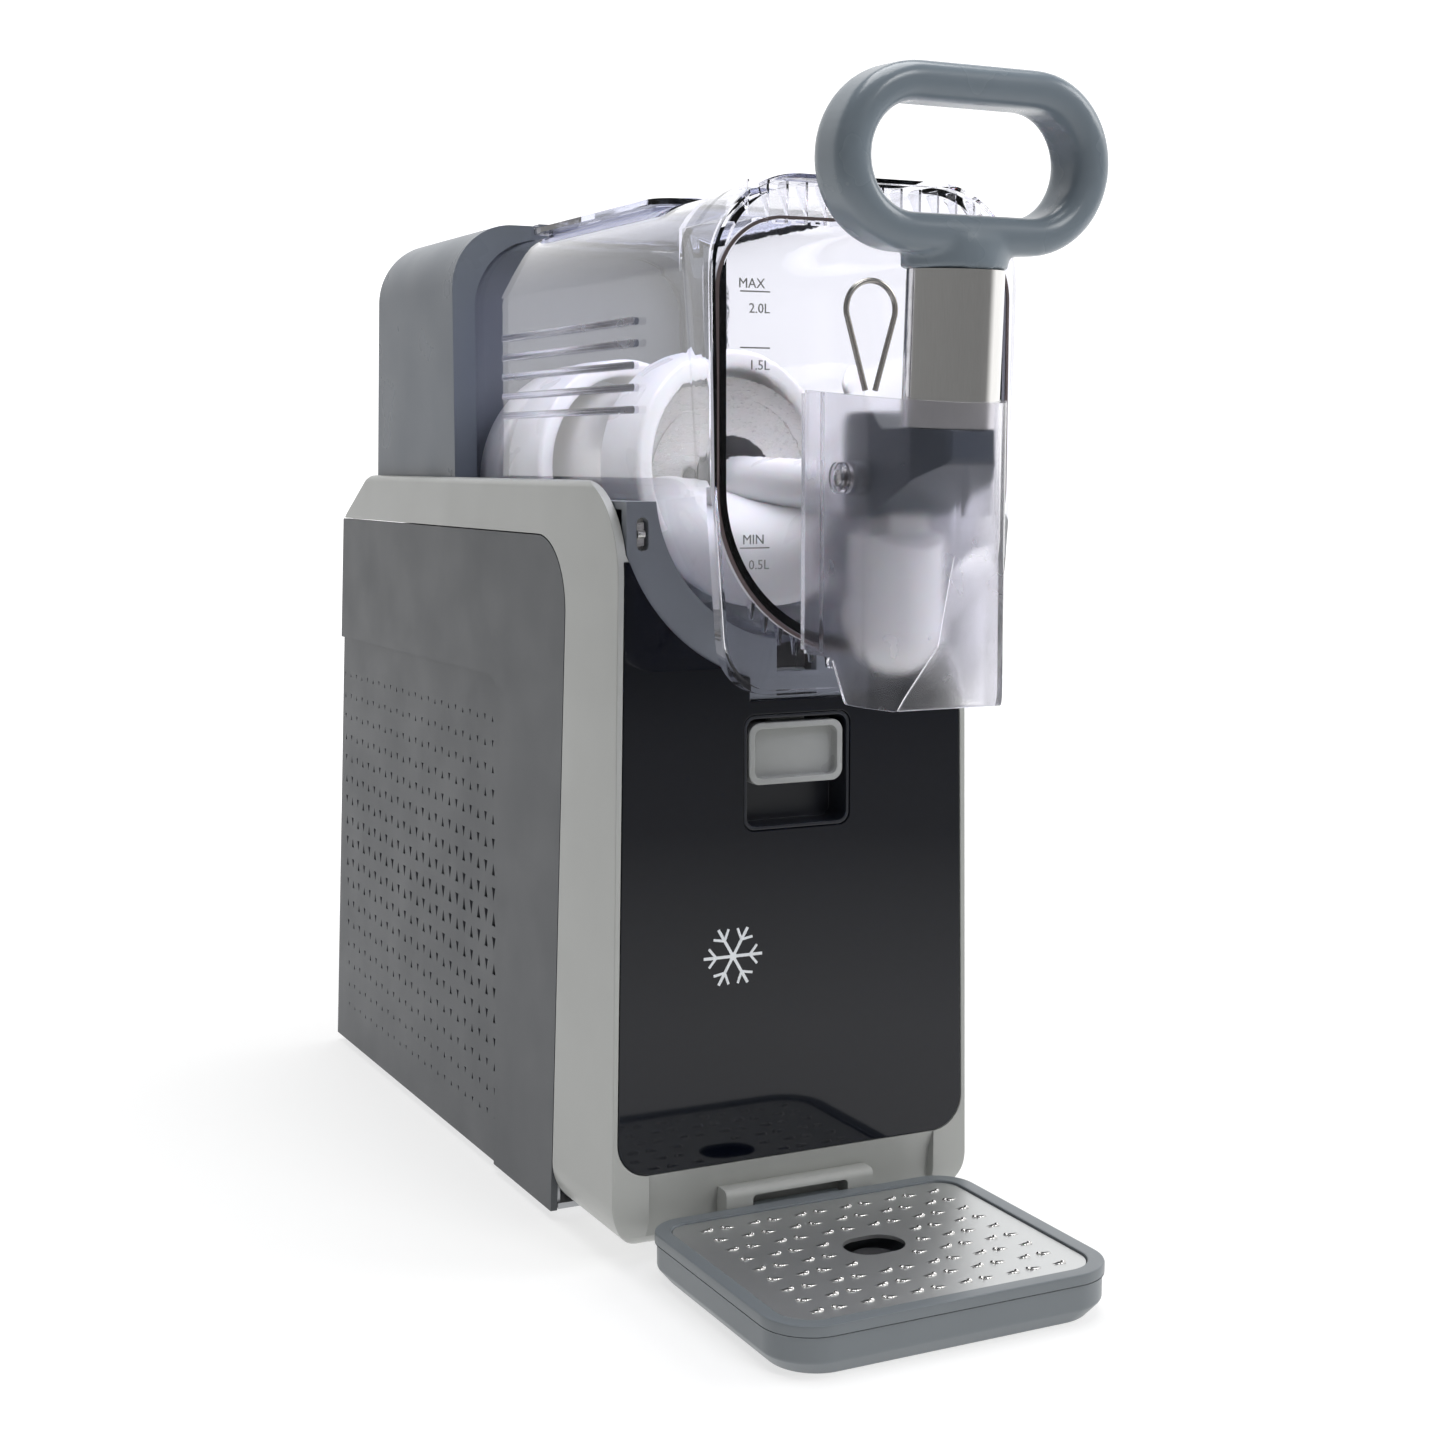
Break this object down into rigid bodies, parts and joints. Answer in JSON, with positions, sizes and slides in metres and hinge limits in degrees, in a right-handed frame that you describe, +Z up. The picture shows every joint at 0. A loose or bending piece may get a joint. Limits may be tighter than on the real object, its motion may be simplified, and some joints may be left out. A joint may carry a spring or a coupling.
{
  "type": "slush machine",
  "caption": "Slim countertop slush machine: clear tank over a chilled drum with a turning auger, tip-back valve handle, lilac-frosted spout shroud and drip tray.",
  "frame": {"origin": "centre of the overall bounding box in plan, on the surface the machine stands on", "axes": "+Z up, the front with its spout and drip tray faces -Y, X across the width"},
  "size_m": [0.1648, 0.52, 0.451],
  "materials": {
    "grey_plastic": "light warm grey moulded plastic, soft gloss",
    "dark_plastic": "dark grey moulded plastic, satin, fine grain",
    "black_gloss": "near-black mirror gloss panel",
    "mark_white": "printed mark",
    "pocket_black": "black moulded plastic",
    "latch_grey": "light grey moulded plastic",
    "cradle_grey": "mid grey moulded plastic",
    "column_blue": "blue-grey moulded plastic, glossy top",
    "rubber_black": "black rubber",
    "rubber_brown": "dark silicone rubber",
    "rubber_grey": "grey silicone rubber",
    "clear_tank": "clear moulded plastic with a slight lilac tint",
    "frosted": "frosted moulded plastic with a slight lilac tint",
    "white_plastic": "white food-grade moulded plastic",
    "steel": "satin stainless steel",
    "chrome_tube": "polished steel tube",
    "wire_steel": "spring steel wire",
    "lever_grey": "dark blue-grey moulded plastic",
    "grip_blue": "blue-grey moulded plastic, satin",
    "tray_grey": "mid grey moulded plastic",
    "zinc": "plated sheet steel",
    "black_metal": "black painted steel",
    "aluminium": "bare aluminium",
    "copper": "copper tube",
    "board": "green circuit board"
  },
  "bodies": {
    "cabinet": {"base_pan": "zinc", "feet": "rubber_black", "trim_shell": "grey_plastic", "side_panel_left": "dark_plastic", "side_panel_right": "dark_plastic", "rear_panel": "dark_plastic", "rear_screws": "zinc", "front_panel": "black_gloss", "front_mark": "mark_white", "latch_pocket": "pocket_black", "tank_cradle": "cradle_grey", "interlock_catch": "steel", "tray_dock": "grey_plastic", "rear_column": "column_blue", "bulkhead": "cradle_grey", "bulkhead_seal": "rubber_grey", "drum_shell": "steel", "drum_end": "steel", "drum_coil": "copper", "shaft_sleeve": "aluminium", "shaft_seal": "rubber_black", "gearbox": "aluminium", "gear_motor": "black_metal", "compressor": "black_metal", "compressor_mounts": "rubber_black", "condenser": "aluminium", "fan_shroud": "pocket_black", "fan_motor": "zinc", "filter_dryer": "copper", "discharge_pipe": "copper", "suction_pipe": "copper", "control_board": "board", "display_board": "board", "power_inlet": "pocket_black"},
    "latch": {"tank_latch": "latch_grey"},
    "auger": {"drive_shaft": "steel", "auger_ribbon": "white_plastic", "auger_blades": "white_plastic", "auger_nut": "white_plastic"},
    "fan": {"fan_blade": "white_plastic"},
    "tank": {"tank_shell": "clear_tank", "front_gasket": "rubber_brown", "front_cap": "frosted", "shroud": "frosted", "handle_pin": "wire_steel", "wire_clip": "wire_steel", "lid_pin": "wire_steel"},
    "lid": {"filler_lid": "clear_tank"},
    "handle": {"valve_lever": "lever_grey", "valve_block": "white_plastic", "valve_seal": "rubber_black", "handle_tube": "chrome_tube", "handle_grip": "grip_blue"},
    "tray": {"drip_tray": "tray_grey", "tray_plug": "rubber_black"},
    "cover": {"tray_cover": "steel"},
    "rocker": {"power_rocker": "pocket_black"}
  },
  "joints": [
    {"name": "latch_press", "type": "slide", "parent": "cabinet", "child": "latch", "axis": [0, 0, -1], "range_m": [0, 0.0155], "stiffness_N_per_m": 80, "springref_m": -0.006},
    {"name": "auger_spin", "type": "hinge", "parent": "cabinet", "child": "auger", "pos_m": [0, 0, 0.309], "axis": [0, -1, 0], "continuous": true},
    {"name": "fan_spin", "type": "hinge", "parent": "cabinet", "child": "fan", "pos_m": [-0.041, 0.151, 0.082], "axis": [1, 0, 0], "continuous": true},
    {"name": "tank_pull", "type": "slide", "parent": "cabinet", "child": "tank", "axis": [0, -1, 0], "range_m": [0, 0.18]},
    {"name": "lid_lift", "type": "hinge", "parent": "tank", "child": "lid", "pos_m": [0, 0.066, 0.4232], "axis": [-1, 0, 0], "range_deg": [0, 95]},
    {"name": "handle_tip", "type": "hinge", "parent": "tank", "child": "handle", "pos_m": [0, -0.2055, 0.3125], "axis": [-1, 0, 0], "range_deg": [0, 20], "stiffness_Nm_per_rad": 0.8, "springref_deg": -22.92},
    {"name": "tray_pull", "type": "slide", "parent": "cabinet", "child": "tray", "axis": [0, -1, 0], "range_m": [0, 0.06]},
    {"name": "cover_lift", "type": "slide", "parent": "tray", "child": "cover", "axis": [0, 0, 1], "range_m": [0, 0.04]},
    {"name": "rocker_tilt", "type": "hinge", "parent": "cabinet", "child": "rocker", "pos_m": [-0.0473, 0.24764, 0.02887], "axis": [1, 0, 0], "range_deg": [-6, 6]}
  ]
}
